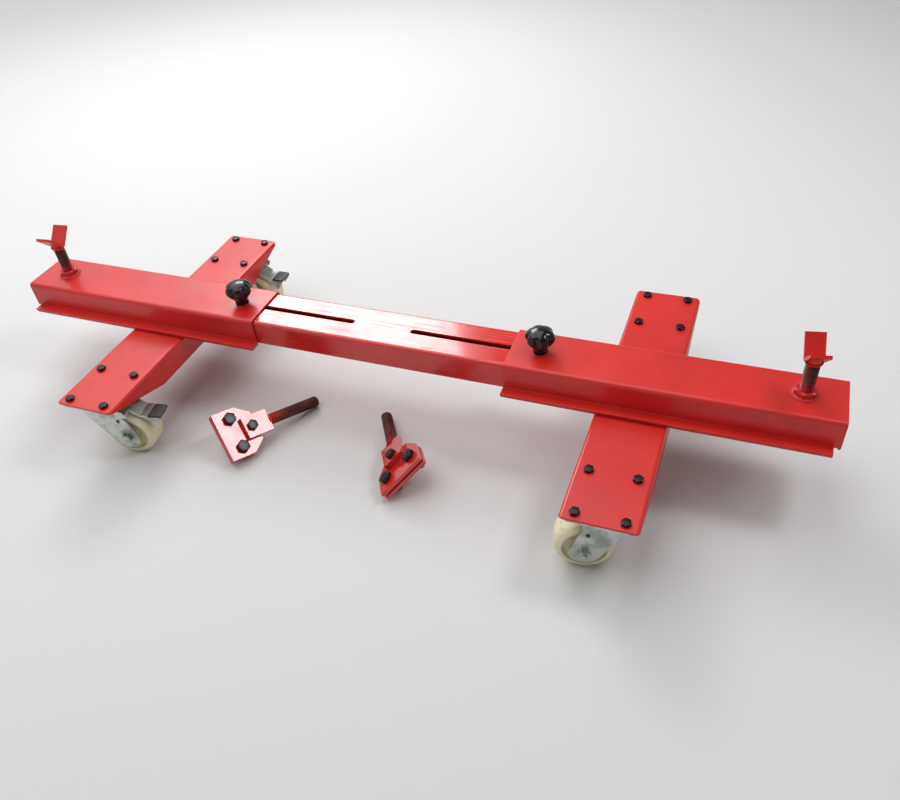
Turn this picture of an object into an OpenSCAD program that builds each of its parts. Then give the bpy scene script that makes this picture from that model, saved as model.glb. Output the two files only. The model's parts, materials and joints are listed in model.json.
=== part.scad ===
// Vehicle positioning dolly: a telescopic beam on two cross members with four swivel
// casters, two screw-up V saddles, two clamping knobs and two loose sill clamps.
// X runs along the beam, Y along the cross members, Z up, and Z = 0 is the floor.

/* [Sleeves] */
// Length of each sleeve
sleeve_l = 498; // [460:2:560]
// Space between the sleeve and the inner beam, on each side
side_gap = 1; // [0.5:0.1:2]
// Sheet thickness of the sleeve
sheet = 3; // [2.5:0.5:4]
// Outer radius of the sleeve's top edges
sleeve_r = 7; // [5:0.5:10]
// Distance between the two sleeves' inner ends
sleeve_gap = 457; // [440:1:520]
// Width of the flange that stands out on each side of the sleeve
flange_w = 18; // [16:1:30]
// How far the flange stops short of the sleeve's outer end
flange_short = 10; // [6:1:30]
// How far the base strip is set in from the flange's edge
base_inset = 2; // [1:0.5:6]
// Thickness of the base strip under each flange
base_t = 5; // [4:0.5:8]
// Thickness of the plate that closes the sleeve's outer end
end_t = 4; // [3:0.5:6]

/* [Inner beam] */
// Width of the inner beam
beam_w = 92; // [76:1:100]
// Height of the inner beam
beam_h = 48.4; // [40:0.2:54]
// Wall of the inner beam
beam_wall = 4; // [3:0.5:5]
// Outer radius of the inner beam's edges
beam_r = 6; // [5:0.5:9]
// Gap above the inner beam under the sleeve, and below it over the cross members
beam_gap = 0.3; // [0.2:0.1:0.5]
// How far each sleeve slides inwards
travel_in = 218; // [120:2:218]
// How far each sleeve slides outwards
travel_out = 98; // [60:2:110]

/* [Knobs] */
// Distance from the sleeve's inner end to its knob
knob_in = 47.5; // [36:0.5:60]
// Diameter of the knob over its lobes
knob_d = 48; // [42:1:54]
// Height of the knob
knob_h = 40; // [36:1:46]
// Diameter of the knob's neck
knob_neck_d = 23; // [20:1:26]
// Thread diameter of the knob's stud
knob_stud_d = 10; // [8:1:12]
// Width across the stud's collar under the knob
collar_d = 24; // [20:1:26]
// Thickness of the collar
collar_t = 2.5; // [2:0.5:4]
// Gap between the slot's wall and the stud, on each side
slot_gap = 0.5; // [0.4:0.1:1.5]
// Length and width of the nut plate inside the beam
nut_plate = 34; // [26:1:44]
// Thickness of the nut plate
nut_plate_t = 8; // [6:1:10]

/* [Posts] */
// Distance from the sleeve's outer end to its post
post_end = 59; // [46:0.5:70]
// Thread diameter of the post's stud
post_d = 20; // [16:1:24]
// Length of the post's stud
post_l = 100; // [92:1:110]
// Bare length of the stud between the welded nut and the saddle
post_bare = 49; // [40:1:60]
// Width across the flats of the welded nut
post_nut_af = 30; // [27:1:36]
// Height of the welded nut
post_nut_h = 12; // [10:1:18]
// Width of the weld round the nut
weld_w = 4; // [2:0.5:6]
// Height of the weld round the nut
weld_h = 4; // [2:0.5:6]
// Width of the saddle's bent flat bar
saddle_w = 28; // [24:1:36]
// Thickness of the saddle's bent flat bar
saddle_t = 5; // [4:0.5:8]
// Length of each of the saddle's arms
saddle_arm = 37; // [30:1:46]
// Angle of the left saddle about its post
left_saddle_angle = 6; // [-40:1:40]
// Angle of the right saddle about its post
right_saddle_angle = 10; // [-40:1:40]

/* [Cross members] */
// Distance from the sleeve's inner end to the middle of its cross member
member_in = 205.5; // [190:0.5:230]
// Length of the cross member
member_l = 554; // [500:2:640]
// Width of the cross member
member_w = 112; // [108:1:130]
// Depth of the cross member's bent flanges
member_h = 44.5; // [34:0.5:45]
// Sheet thickness of the cross member
member_t = 4; // [3:0.5:5]
// Outer bend radius of the cross member
member_r = 6; // [5.5:0.5:10]
// Length over which each flange tapers away towards the end
member_taper = 132; // [100:1:160]
// Corner radius of the cross member's ends
member_corner = 8; // [4:1:12]

/* [Casters] */
// Height of a caster from the floor to its mounting face
caster_h = 130; // [128:1:140]
// Distance from the cross member's end to the caster's swivel axis
caster_in = 54; // [54:1:70]
// Wheel diameter
wheel_d = 90; // [84:1:92]
// Wheel width
wheel_w = 46; // [38:1:48]
// Radius of the wheel's rounded shoulders
wheel_r = 12; // [8:1:16]
// Trail of the wheel's axle behind the swivel axis
trail = 28; // [24:1:30]
// Diameter of the wheel's axle bolt
axle_d = 10; // [8:1:12]
// Side gap between the wheel's hub and each fork leg
hub_gap = 0.6; // [0.4:0.1:1.5]
// Sheet thickness of the fork
fork_t = 3.5; // [3:0.5:4]
// Space between the fork's legs
fork_gap = 52; // [50:1:56]
// Radius of the fork leg's lower end
leg_r = 23; // [18:1:24]
// Distance of the fork crown's front edge from the swivel axis
leg_front = 32; // [31:1:33]
// Height of the small hole in each fork leg above the axle
leg_hole_z = 34; // [32:1:36]
// Diameter of the swivel bearing's housing
race_d = 66; // [60:1:68]
// Depth of the swivel bearing's housing under the mounting plate
race_h = 10; // [8:0.5:11]
// Diameter of the kingpin
kingpin_d = 12; // [10:1:14]
// Length of the mounting plate along the cross member
mount_l = 106; // [104:1:108]
// Space between the mounting plate and the cross member's flange, on each side
mount_side = 2; // [1.5:0.5:6]
// Thickness of the mounting plate
mount_t = 4; // [3:0.5:5]
// Bolt spacing across the cross member
bolt_x = 70; // [68:1:74]
// Bolt spacing along the cross member
bolt_y = 82; // [80:1:86]
// Diameter of the mounting bolts
bolt_d = 8; // [6:1:8]
// Angle at which the near left wheel trails
near_left_angle = 11; // [0:1:20]
// Angle at which the far left wheel trails
far_left_angle = 0; // [-20:1:20]
// Angle at which the near right wheel trails
near_right_angle = -166; // [-180:1:-150]
// Angle at which the far right wheel trails
far_right_angle = -170; // [-180:1:-150]

/* [Brakes] */
// Distance of the brake's pivot behind the swivel axis
brake_x = 40; // [38:1:41]
// Height of the brake's pivot above the floor
brake_z = 97; // [96:0.5:98]
// Diameter of the brake's pivot pin
brake_pin_d = 6; // [5:0.5:6]
// Width of the brake lever
brake_w = 32; // [28:1:48]
// Sheet thickness of the brake lever
brake_t = 2.5; // [2:0.5:3]
// Distance of the pedal's tip behind the swivel axis
pedal_x = 98; // [96:1:104]
// Height of the pedal's top above the floor
pedal_z = 88; // [86:0.5:88.5]
// Length of the pedal's pad
pedal_l = 24; // [22:1:26]
// Distance from the brake's pivot to the bend in its lever
lever_run = 20; // [18:1:21]
// Thickness of the pedal's pad
pedal_pad_t = 4; // [3:0.5:5]
// Depth of the pedal's lower corner below its top
pedal_drop = 24; // [18:1:28]

/* [Sill clamps] */
// Length of a clamp's jaw
jaw_l = 90; // [84:1:100]
// Height of the jaw's straight sides
jaw_side = 44; // [42:1:50]
// Height of the whole jaw
jaw_h = 68; // [66:1:74]
// Width of the jaw's top edge between its slanted corners
jaw_top = 54; // [44:1:60]
// Thickness of each jaw plate
jaw_t = 6.5; // [5:0.5:7]
// Gap between the two jaw plates
jaw_gap = 3; // [2.8:0.1:5]
// Width of the bracket that carries the clamp's stud
bracket_w = 40; // [34:1:48]
// Thickness of the bracket
bracket_t = 10; // [8:1:12]
// Distance from the jaw's gripping edge to the near edge of the bracket
bracket_in = 42; // [42:1:45]
// Distance from the jaw's gripping edge to the end of the bracket
bracket_out = 90; // [84:1:100]
// Distance from the jaw's gripping edge to the tip of the stud
tip_out = 195; // [180:1:210]
// Diameter of the clamp's stud
clamp_stud_d = 20; // [16:1:20]
// Distance between the two large clamping bolts
grip_bolts = 54; // [50:1:58]
// Distance from the gripping edge to the large bolts
grip_bolt_in = 27; // [25:1:28]
// Distance from the gripping edge to the small bolt
lock_bolt_in = 56; // [54:1:58]
// Diameter of the large clamping bolts
grip_bolt_d = 12; // [10:1:12]
// Diameter of the small bolt
lock_bolt_d = 10; // [8:1:10]
// How far the clamping bolts stand out behind the back jaw
bolt_out = 15; // [11:1:18]
// Angle at which a clamp tilts on its resting corner
clamp_roll_angle = 39; // [30:1:45]
// Angle at which its stud slopes down to the tip
clamp_pitch_angle = 11.6; // [10:0.1:13]

/* [Clamp places] */
// First clamp's place along the beam
clamp_a_x = -231; // [-260:1:-200]
// First clamp's place across the beam
clamp_a_y = -205; // [-215:1:-190]
// First clamp's angle on the floor
clamp_a_angle = -27; // [-45:1:-15]
// Second clamp's place along the beam
clamp_b_x = 101; // [70:1:140]
// Second clamp's place across the beam
clamp_b_y = -200; // [-205:1:-180]
// Second clamp's angle on the floor
clamp_b_angle = 32; // [20:1:50]

/* [Fits] */
// Radial clearance between a turning shaft and its hole
run_fit = 0.05; // [0.02:0.01:0.1]
// Radial clearance between a bolt and its hole
bolt_fit = 0.25; // [0.1:0.05:0.5]
// Gap between flat faces that move past each other
face_gap = 0.3; // [0.2:0.05:0.5]
// Space left between the inner beam's end and the post when the sleeve is pushed in
post_clear = 4; // [3:1:10]
// Length of thread that stands out of a nut
thread_over = 3; // [2:0.5:6]

/* [Hidden] */
$fn = 64;
eps = 0.01;

// Heights above the floor
member_z = caster_h + member_t;
base_z = member_z + base_t;
beam_z = member_z + beam_gap;
beam_top = beam_z + beam_h;
sleeve_top = beam_top + beam_gap + sheet;
nut_top = sleeve_top + post_nut_h;
saddle_z = nut_top + post_bare;

// The sleeve's outer width, and places along the beam from its middle
sleeve_w = beam_w + 2 * (side_gap + sheet);
sleeve_x = sleeve_gap / 2;
knob_x = sleeve_x + knob_in;
post_x = sleeve_x + sleeve_l - post_end;
member_x = sleeve_x + member_in;
caster_y = member_l / 2 - caster_in;
slot_w = knob_stud_d + 2 * slot_gap;
slot_x0 = knob_x - travel_in - slot_w / 2 - slot_gap;
slot_x1 = knob_x + travel_out + slot_w / 2 + slot_gap;
beam_half = post_x - travel_in - post_d / 2 - post_clear;

// Steel hexagons, as a ratio of width across flats to thread diameter
hex_ratio = 1.7;
head_ratio = 0.65;
nut_ratio = 0.8;
chamfer = 1;

// Swivel caster, in its own frame: the swivel axis is Z and the wheel trails towards +X
axle_z = wheel_d / 2;
mount_w = member_w - 2 * (member_t + mount_side);
crown_z = caster_h - mount_t - 2 * race_h - fork_t;
leg_back = -33;
leg_waist = 8;
leg_hole = [6, 8];
leg_hole_back = 7;
leg_out = fork_gap / 2 + fork_t;
hub_w = fork_gap - 2 * hub_gap;
mount_hole_r = bolt_d / 2 + bolt_fit;
race_split = caster_h - mount_t - race_h;
kingpin_head_d = 2 * kingpin_d;
kingpin_head_h = 5;
wheel_web_r = 34;
wheel_web_depth = 7;
hub_r = 16;
brake_boss_r = brake_pin_d / 2 + 2;
brake_ear_r = brake_pin_d / 2 + 3;

// Brake lever, as distances from its bend and from the pedal's tip
lever_bend = brake_x + lever_run;
lever_heel = [3, 4.5];
pedal_lip = [2, 4];
pedal_toe = 15;
pedal_cheek = 12;

// Sill clamp, in its own frame: X along the gripping edge, Y to the stud, Z out of the front
jaws_t = 2 * jaw_t + jaw_gap;
clamp_down = sin(clamp_pitch_angle);
clamp_side = sin(clamp_roll_angle) * cos(clamp_pitch_angle);
clamp_face = cos(clamp_roll_angle) * cos(clamp_pitch_angle);
jaw_low = jaw_l / 2 * clamp_side + jaw_side * clamp_down + jaws_t * clamp_face;
tip_low = (tip_out - chamfer) * clamp_down + clamp_stud_d / 2 * cos(clamp_pitch_angle);
bolt_low = grip_bolts / 2 * clamp_side + grip_bolt_in * clamp_down
    + (jaws_t + bolt_out) * clamp_face + (grip_bolt_d / 2 - chamfer) * sqrt(1 - pow(clamp_face, 2));
clamp_drop = max(jaw_low, tip_low, bolt_low);

RED = [0.72, 0.07, 0.06];
BLACK = [0.06, 0.06, 0.06];
STEEL = [0.62, 0.63, 0.62];
CREAM = [0.86, 0.82, 0.62];
OXIDE = [0.16, 0.13, 0.12];

// Places children for the left or the right half of the dolly
module on_left() {
    mirror([1, 0, 0]) children();
}

module on_right() {
    children();
}

// Places children on a post, turned about it
module at_post(s, turn) {
    translate([s * post_x, 0, 0]) rotate([0, 0, turn]) children();
}

// Runs a flat section, drawn across Y and up Z, along X
module along_x(x0, length) {
    translate([x0, 0, 0]) rotate([90, 0, 90]) linear_extrude(length) children();
}

// Places children at a caster's swivel axis, turned to where its wheel trails
module at_caster(sx, sy, turn) {
    translate([sx * member_x, sy * caster_y, 0]) rotate([0, 0, turn]) children();
}

module near_left() {
    at_caster(-1, -1, near_left_angle) children();
}

module far_left() {
    at_caster(-1, 1, far_left_angle) children();
}

module near_right() {
    at_caster(1, -1, near_right_angle) children();
}

module far_right() {
    at_caster(1, 1, far_right_angle) children();
}

// A rectangle standing on Y = 0 with its two upper corners rounded
module round_top(w, h, r) {
    translate([-w / 2, 0]) square([w, h - r]);
    translate([-w / 2 + r, 0]) square([w - 2 * r, h]);
    for (s = [-1, 1]) translate([s * (w / 2 - r), h - r]) circle(r);
}

// A rectangle about the origin with all its corners rounded
module round_rect(w, h, r) {
    square([w - 2 * r, h], center = true);
    square([w, h - 2 * r], center = true);
    for (sx = [-1, 1], sy = [-1, 1]) translate([sx * (w / 2 - r), sy * (h / 2 - r)]) circle(r);
}

// A hexagon bar, by its width across the flats
module hex_bar(af, h) {
    cylinder(d = af / cos(30), h = h, $fn = 6);
}

// A shaft with a chamfer at its lower end
module chamfered_shaft(r, h) {
    cylinder(r1 = r - chamfer, r2 = r, h = chamfer);
    translate([0, 0, chamfer]) cylinder(r = r, h = h - chamfer);
}

// Hexagon bolt that hangs from its head's lower face at Z = 0
module hex_bolt(d, grip) {
    hex_bar(d * hex_ratio, d * head_ratio);
    translate([0, 0, -grip]) chamfered_shaft(d / 2, grip + eps);
}

module hex_nut(d) {
    difference() {
        hex_bar(d * hex_ratio, d * nut_ratio);
        translate([0, 0, -1]) cylinder(r = d / 2 + run_fit, h = d * nut_ratio + 2);
    }
}

module inner_beam() {
    color(RED) difference() {
        along_x(-beam_half, 2 * beam_half) translate([0, beam_z + beam_h / 2])
            round_rect(beam_w, beam_h, beam_r);
        along_x(-beam_half - 1, 2 * beam_half + 2) translate([0, beam_z + beam_h / 2])
            round_rect(beam_w - 2 * beam_wall, beam_h - 2 * beam_wall, beam_r - beam_wall);
        for (s = [0, 1]) mirror([s, 0, 0]) translate([0, 0, beam_top - beam_wall - 1]) {
            for (x = [slot_x0 + slot_w / 2, slot_x1 - slot_w / 2])
                translate([x, 0, 0]) cylinder(d = slot_w, h = beam_wall + 2);
            translate([slot_x0 + slot_w / 2, -slot_w / 2, 0])
                cube([slot_x1 - slot_x0 - slot_w, slot_w, beam_wall + 2]);
        }
    }
}

// Hat section that runs over the inner beam, with a flange on each side
module sleeve() {
    h = sleeve_top - base_z;
    color(RED) difference() {
        union() {
            along_x(sleeve_x, sleeve_l) translate([0, base_z]) round_top(sleeve_w, h, sleeve_r);
            along_x(sleeve_x, sleeve_l - flange_short)
                translate([-sleeve_w / 2 - flange_w, base_z]) square([sleeve_w + 2 * flange_w, sheet]);
        }
        along_x(sleeve_x - 1, sleeve_l + 2) translate([0, base_z - 1])
            round_top(sleeve_w - 2 * sheet, h - sheet + 1, sleeve_r - sheet);
        translate([knob_x, 0, sleeve_top - sheet - 1])
            cylinder(r = knob_stud_d / 2 + bolt_fit, h = sheet + 2);
        translate([post_x, 0, sleeve_top - sheet - 1])
            cylinder(r = post_d / 2 + bolt_fit, h = sheet + 2);
    }
}

// Two strips that fill the height between the sleeve's flanges and the cross member
module base_plate() {
    side = sleeve_w / 2 - sheet;
    color(RED) for (s = [0, 1]) mirror([0, s, 0]) translate([sleeve_x, side, member_z])
        cube([sleeve_l - flange_short, sheet + flange_w - base_inset, base_t]);
}

// Plate welded into the sleeve's outer mouth
module end_plate() {
    color(RED) along_x(sleeve_x + sleeve_l - end_t, end_t) translate([0, member_z])
        round_top(sleeve_w - 2 * sheet, sleeve_top - member_z - sheet, sleeve_r - sheet);
}

// Bent channel with flanges that taper away to the ends, drilled for two casters
module cross_member() {
    half = member_l / 2;
    low = member_z - member_h;
    color(RED) translate([member_x, 0, 0]) difference() {
        translate([0, half, low]) rotate([90, 0, 0]) linear_extrude(member_l)
            round_top(member_w, member_h, member_r);
        translate([0, half + 1, low - 1]) rotate([90, 0, 0]) linear_extrude(member_l + 2)
            round_top(member_w - 2 * member_t, member_h - member_t + 1, member_r - member_t);
        for (s = [0, 1]) mirror([0, s, 0]) {
            along_x(-member_w, 2 * member_w) polygon([[half - member_taper, low],
                [half - member_taper, low - 1], [half + 1, low - 1],
                [half + 1, member_z - member_t], [half, member_z - member_t]]);
            for (sx = [-1, 1], sy = [-1, 1]) translate([sx * bolt_x / 2, caster_y + sy * bolt_y / 2,
                caster_h - 1]) cylinder(r = mount_hole_r, h = member_t + 2);
            for (sx = [0, 1]) mirror([sx, 0, 0]) translate([member_w / 2 - member_corner,
                half - member_corner, low - 1]) difference() {
                    cube([member_corner + 1, member_corner + 1, member_h + 2]);
                    cylinder(r = member_corner, h = member_h + 2);
                }
        }
    }
}

module post_nut() {
    color(RED) translate([post_x, 0, sleeve_top]) difference() {
        union() {
            hex_bar(post_nut_af, post_nut_h);
            cylinder(r1 = post_nut_af * 0.55 + weld_w, r2 = post_nut_af * 0.55, h = weld_h);
        }
        translate([0, 0, -1]) cylinder(r = post_d / 2 + run_fit, h = post_nut_h + 2);
    }
}

module post_stud() {
    color(OXIDE) translate([post_x, 0, saddle_z - post_l]) chamfered_shaft(post_d / 2, post_l);
}

// Section of the flat bar bent to a V, with its fold's outside rounded
module vee_section() {
    c = cos(45);
    arm = [saddle_arm * c, saddle_arm * c];
    out = [saddle_t * c, -saddle_t * c];
    flip = [[-1, 0], [0, 1]];
    translate([0, saddle_t]) {
        polygon([[0, 0], arm, arm + out, out, flip * out, flip * (arm + out), flip * arm]);
        intersection() {
            circle(saddle_t);
            translate([-saddle_t, -saddle_t]) square([2 * saddle_t, 0.7 * saddle_t]);
        }
    }
}

// The V saddle, with the collar of weld that seats it on the stud
module saddle() {
    seat = post_d / 2 + 1;
    middle = saddle_t * (1 - sin(45));
    color(RED) translate([0, 0, saddle_z]) {
        rotate([90, 0, 90]) translate([0, 0, -saddle_w / 2]) linear_extrude(saddle_w) vee_section();
        difference() {
            cylinder(r = seat, h = seat);
            rotate([90, 0, 90]) translate([0, 0, -2 * seat]) linear_extrude(4 * seat)
                polygon([[0, middle], [2 * seat, middle + 2 * seat], [-2 * seat, middle + 2 * seat]]);
        }
    }
}

// Tulip-shaped knob: a domed body on a narrow neck, with lobes that lean outwards
module knob() {
    lobes = 6;
    lobe_r = knob_d / 6;
    dome_r = knob_d / 2 - lobe_r / 2;
    dome_z = knob_h - dome_r;
    neck_r = knob_neck_d / 2;
    foot_r = 3;
    foot = [neck_r - foot_r, foot_r];
    crest = [knob_d / 2 - lobe_r, dome_z + 3];
    lean = atan2(crest[0] - foot[0], crest[1] - foot[1]);
    dome = [for (a = [-6 : 12 : 90]) [dome_r * cos(a), dome_z + dome_r * sin(a)]];
    color(BLACK) translate([knob_x, 0, sleeve_top + collar_t]) difference() {
        union() {
            rotate_extrude() polygon(concat([[0, 0], [neck_r, 0], [neck_r, foot_r]], dome, [[0, knob_h]]));
            for (i = [0 : lobes - 1]) rotate(i * 360 / lobes) {
                translate([foot[0], 0, foot[1]]) rotate([0, lean, 0])
                    cylinder(r1 = foot_r, r2 = lobe_r * 0.94, h = norm(crest - foot));
                translate([crest[0], 0, crest[1]]) sphere(lobe_r);
            }
        }
        translate([0, 0, -1]) cylinder(r = knob_stud_d / 2, h = knob_h * 0.5 + 1);
    }
}

// The knob's threaded stud with the collar that bears on the sleeve
module knob_stud() {
    reach = sleeve_top - beam_top + beam_wall + nut_plate_t + thread_over;
    color(STEEL) translate([knob_x, 0, sleeve_top]) {
        cylinder(d = collar_d, h = collar_t);
        translate([0, 0, -reach]) chamfered_shaft(knob_stud_d / 2, reach + collar_t + knob_h * 0.5);
    }
}

// Tapped plate that draws up against the inside of the beam
module nut_plate_block() {
    color(STEEL) translate([knob_x, 0, beam_top - beam_wall - face_gap / 3 - nut_plate_t])
        difference() {
            translate([-nut_plate / 2, -nut_plate / 2, 0]) cube([nut_plate, nut_plate, nut_plate_t]);
            translate([0, 0, -1]) cylinder(r = knob_stud_d / 2 + run_fit, h = nut_plate_t + 2);
        }
}

// Places children at the eight bolts of the two casters on one cross member
module at_caster_bolts() {
    for (y = [-caster_y, caster_y], sx = [-1, 1], sy = [-1, 1])
        translate([member_x + sx * bolt_x / 2, y + sy * bolt_y / 2, 0]) children();
}

module caster_bolts() {
    grip = member_t + mount_t + bolt_d * nut_ratio + thread_over;
    color(BLACK) at_caster_bolts() translate([0, 0, member_z]) hex_bolt(bolt_d, grip);
}

module caster_nuts() {
    color(STEEL) at_caster_bolts() translate([0, 0, caster_h - mount_t - bolt_d * nut_ratio])
        hex_nut(bolt_d);
}

// Drilled plate with the upper housing of the swivel bearing pressed into it
module mount_plate(turn) {
    color(STEEL) difference() {
        union() {
            translate([0, 0, caster_h - mount_t]) rotate(-turn) linear_extrude(mount_t)
                round_rect(mount_w, mount_l, member_corner);
            translate([0, 0, race_split + face_gap])
                cylinder(d1 = race_d, d2 = race_d - race_h, h = race_h - face_gap + eps);
        }
        rotate(-turn) for (sx = [-1, 1], sy = [-1, 1])
            translate([sx * bolt_x / 2, sy * bolt_y / 2, caster_h - mount_t - 1])
                cylinder(r = mount_hole_r, h = mount_t + 2);
        translate([0, 0, race_split - 1]) cylinder(r = kingpin_d / 2, h = race_h + mount_t + 2);
    }
}

// Headed pin through the swivel bearing, fixed in the mounting plate
module kingpin() {
    low = crown_z - face_gap;
    color(STEEL) {
        translate([0, 0, low]) cylinder(d = kingpin_d, h = caster_h - low);
        translate([0, 0, low - kingpin_head_h])
            cylinder(d1 = kingpin_head_d - 3, d2 = kingpin_head_d, h = kingpin_head_h);
    }
}

// Where a line from a point touches a circle, on the given side
function tangent_point(p, centre, r, side) =
    let (d = p - centre, turn = atan2(d[1], d[0]) - side * acos(r / norm(d)))
    centre + r * [cos(turn), sin(turn)];

// Outline of a fork leg, seen from its side, with its edges tangent to the round lower end
module leg_outline() {
    top = crown_z + fork_t;
    axle = [trail, axle_z];
    back = [leg_back, crown_z - leg_waist];
    front = [leg_front, crown_z - leg_waist];
    translate(axle) circle(leg_r);
    polygon([[leg_back, top], back, tangent_point(back, axle, leg_r, -1),
        tangent_point(front, axle, leg_r, 1), front, [leg_front, top]]);
}

// Ear that stands forward of a leg and holds the brake's pin
module ear_outline() {
    pivot = [brake_x, brake_z];
    high = [leg_front, crown_z + fork_t];
    low = [leg_front, pivot[1] - brake_ear_r];
    translate(pivot) circle(brake_ear_r);
    polygon([[leg_front - fork_t, high[1]], [leg_front - fork_t, low[1]], low,
        tangent_point(low, pivot, brake_ear_r, -1), pivot, tangent_point(high, pivot, brake_ear_r, 1),
        high]);
}

// Bent fork with the lower housing of the swivel bearing on its crown
module fork(braked) {
    across = 2 * leg_out + 2;
    color(STEEL) difference() {
        union() {
            for (s = [-1, 1]) translate([0, s * (leg_out - fork_t / 2) + fork_t / 2, 0])
                rotate([90, 0, 0]) linear_extrude(fork_t) {
                    leg_outline();
                    if (braked) ear_outline();
                }
            translate([leg_back, -leg_out, crown_z]) cube([leg_front - leg_back, 2 * leg_out, fork_t]);
            translate([0, 0, crown_z + fork_t - eps])
                cylinder(d1 = race_d - race_h / 2, d2 = race_d, h = race_h + eps);
        }
        translate([0, 0, crown_z - 1])
            cylinder(r = kingpin_d / 2 + run_fit, h = fork_t + race_h + 2);
        translate([trail, leg_out + 1, axle_z]) rotate([90, 0, 0])
            cylinder(r = axle_d / 2 + run_fit, h = across);
        if (braked) translate([brake_x, leg_out + 1, brake_z]) rotate([90, 0, 0])
            cylinder(r = brake_pin_d / 2 + run_fit, h = across);
        translate([trail - leg_hole_back, -leg_out - 1, axle_z + leg_hole_z])
            cube([leg_hole[0], across, leg_hole[1]]);
    }
}

// Bolt through the fork and the wheel, with its nut
module axle_bolt() {
    nut_h = axle_d * nut_ratio;
    color(STEEL) translate([trail, 0, axle_z]) rotate([90, 0, 0]) {
        translate([0, 0, leg_out]) hex_bolt(axle_d, 2 * leg_out + nut_h + thread_over);
        translate([0, 0, -leg_out - nut_h]) hex_nut(axle_d);
    }
}

// Moulded wheel with rounded shoulders, recessed sides and a plain bore
module wheel() {
    r = wheel_d / 2;
    w = wheel_w / 2;
    web = w - wheel_web_depth;
    color(CREAM) translate([trail, 0, axle_z]) rotate([90, 0, 0]) rotate_extrude() difference() {
        union() {
            translate([0, -w]) square([r - wheel_r, wheel_w]);
            translate([0, -w + wheel_r]) square([r, wheel_w - 2 * wheel_r]);
            for (s = [-1, 1]) translate([r - wheel_r, s * (w - wheel_r)])
                intersection() {
                    circle(wheel_r);
                    translate([-wheel_r / 2, -wheel_r]) square([2 * wheel_r, 2 * wheel_r]);
                }
            translate([0, -hub_w / 2]) square([hub_r, hub_w]);
        }
        for (s = [0, 1]) mirror([0, s]) translate([hub_r, web])
            square([wheel_web_r - hub_r, wheel_web_depth + 1]);
        translate([-1, -hub_w]) square([1 + axle_d / 2 + run_fit, 2 * hub_w]);
    }
}

// Side outline of the brake lever from its boss: arm over the tread, and pedal with its lower corner
module lever_outline() {
    pad_x = pedal_x - pedal_l;
    tread = pedal_z - pedal_pad_t;
    pivot = [brake_x, brake_z];
    bend = [lever_bend, pedal_z];
    heel = [lever_bend + lever_heel[0], pedal_z - lever_heel[1]];
    polygon([pivot, tangent_point(bend, pivot, brake_boss_r, -1), bend, [pad_x, pedal_z], [pad_x, tread],
        [pedal_x - pedal_lip[0], tread], [pedal_x - pedal_lip[0], tread - pedal_lip[1]],
        [pedal_x - pedal_toe, pedal_z - pedal_drop], [pad_x, pedal_z - pedal_cheek],
        heel, tangent_point(heel, pivot, brake_boss_r, 1)]);
}

// Pressed channel that turns between the fork's legs and bears on the tread
module brake_lever() {
    step_x = pedal_x - pedal_l - brake_t;
    under = pedal_z - brake_t;
    inside = brake_w - 2 * brake_t;
    top = tangent_point([lever_bend, pedal_z], [brake_x, brake_z], brake_boss_r, -1);
    slope = (top[1] - pedal_z) / (lever_bend - top[0]);
    web_x = brake_x + brake_boss_r + 1;
    web_z = top[1] - (web_x - top[0]) * slope - 1.4 * brake_t;
    color(STEEL) difference() {
        union() {
            translate([brake_x, brake_w / 2, brake_z]) rotate([90, 0, 0])
                cylinder(r = brake_boss_r, h = brake_w);
            translate([0, brake_w / 2, 0]) rotate([90, 0, 0]) linear_extrude(brake_w) lever_outline();
        }
        translate([0, inside / 2, 0]) rotate([90, 0, 0]) linear_extrude(inside)
            polygon([[0, 0], [0, caster_h], [web_x, caster_h], [web_x, web_z],
                [lever_bend - 0.6 * brake_t, under], [step_x, under],
                [step_x, under - pedal_pad_t], [pedal_x + 1, under - pedal_pad_t], [pedal_x + 1, 0]]);
        translate([brake_x, brake_w, brake_z]) rotate([90, 0, 0])
            cylinder(r = brake_pin_d / 2 + run_fit, h = 2 * brake_w);
    }
}

// Moulded pad on the pedal
module brake_pad() {
    color(BLACK) translate([pedal_x - pedal_l / 2, 0, pedal_z - pedal_pad_t])
        linear_extrude(pedal_pad_t) round_rect(pedal_l, brake_w, 3);
}

// Riveted pin through the fork and the brake lever
module brake_pin() {
    head = 2;
    color(STEEL) translate([brake_x, leg_out + head, brake_z]) rotate([90, 0, 0]) {
        cylinder(d = brake_pin_d, h = 2 * leg_out + 2 * head);
        cylinder(d = brake_pin_d + 4, h = head);
        translate([0, 0, 2 * leg_out + head]) cylinder(d = brake_pin_d + 4, h = head);
    }
}

// Places a sill clamp, which rests on one corner of its jaw, the stud's tip and a bolt's end
module at_clamp(x, y, turn, roll) {
    translate([x, y, clamp_drop]) rotate(turn) rotate([-clamp_pitch_angle, 0, 0]) rotate([0, roll, 0])
        children();
}

module at_clamp_a() {
    at_clamp(clamp_a_x, clamp_a_y, clamp_a_angle, clamp_roll_angle) children();
}

module at_clamp_b() {
    at_clamp(clamp_b_x, clamp_b_y, clamp_b_angle, -clamp_roll_angle) children();
}

// Plate with straight sides and two slanted corners, drilled for the three bolts
module jaw_plate(hole_fit) {
    difference() {
        linear_extrude(jaw_t) polygon([[-jaw_l / 2, 0], [jaw_l / 2, 0], [jaw_l / 2, jaw_side],
            [jaw_top / 2, jaw_h], [-jaw_top / 2, jaw_h], [-jaw_l / 2, jaw_side]]);
        clamp_holes(hole_fit, jaw_t);
    }
}

module clamp_holes(hole_fit, t) {
    for (s = [-1, 1]) translate([s * grip_bolts / 2, grip_bolt_in, -1])
        cylinder(r = grip_bolt_d / 2 + hole_fit, h = t + 2);
    translate([0, lock_bolt_in, -1]) cylinder(r = lock_bolt_d / 2 + hole_fit, h = t + 2);
}

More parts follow.
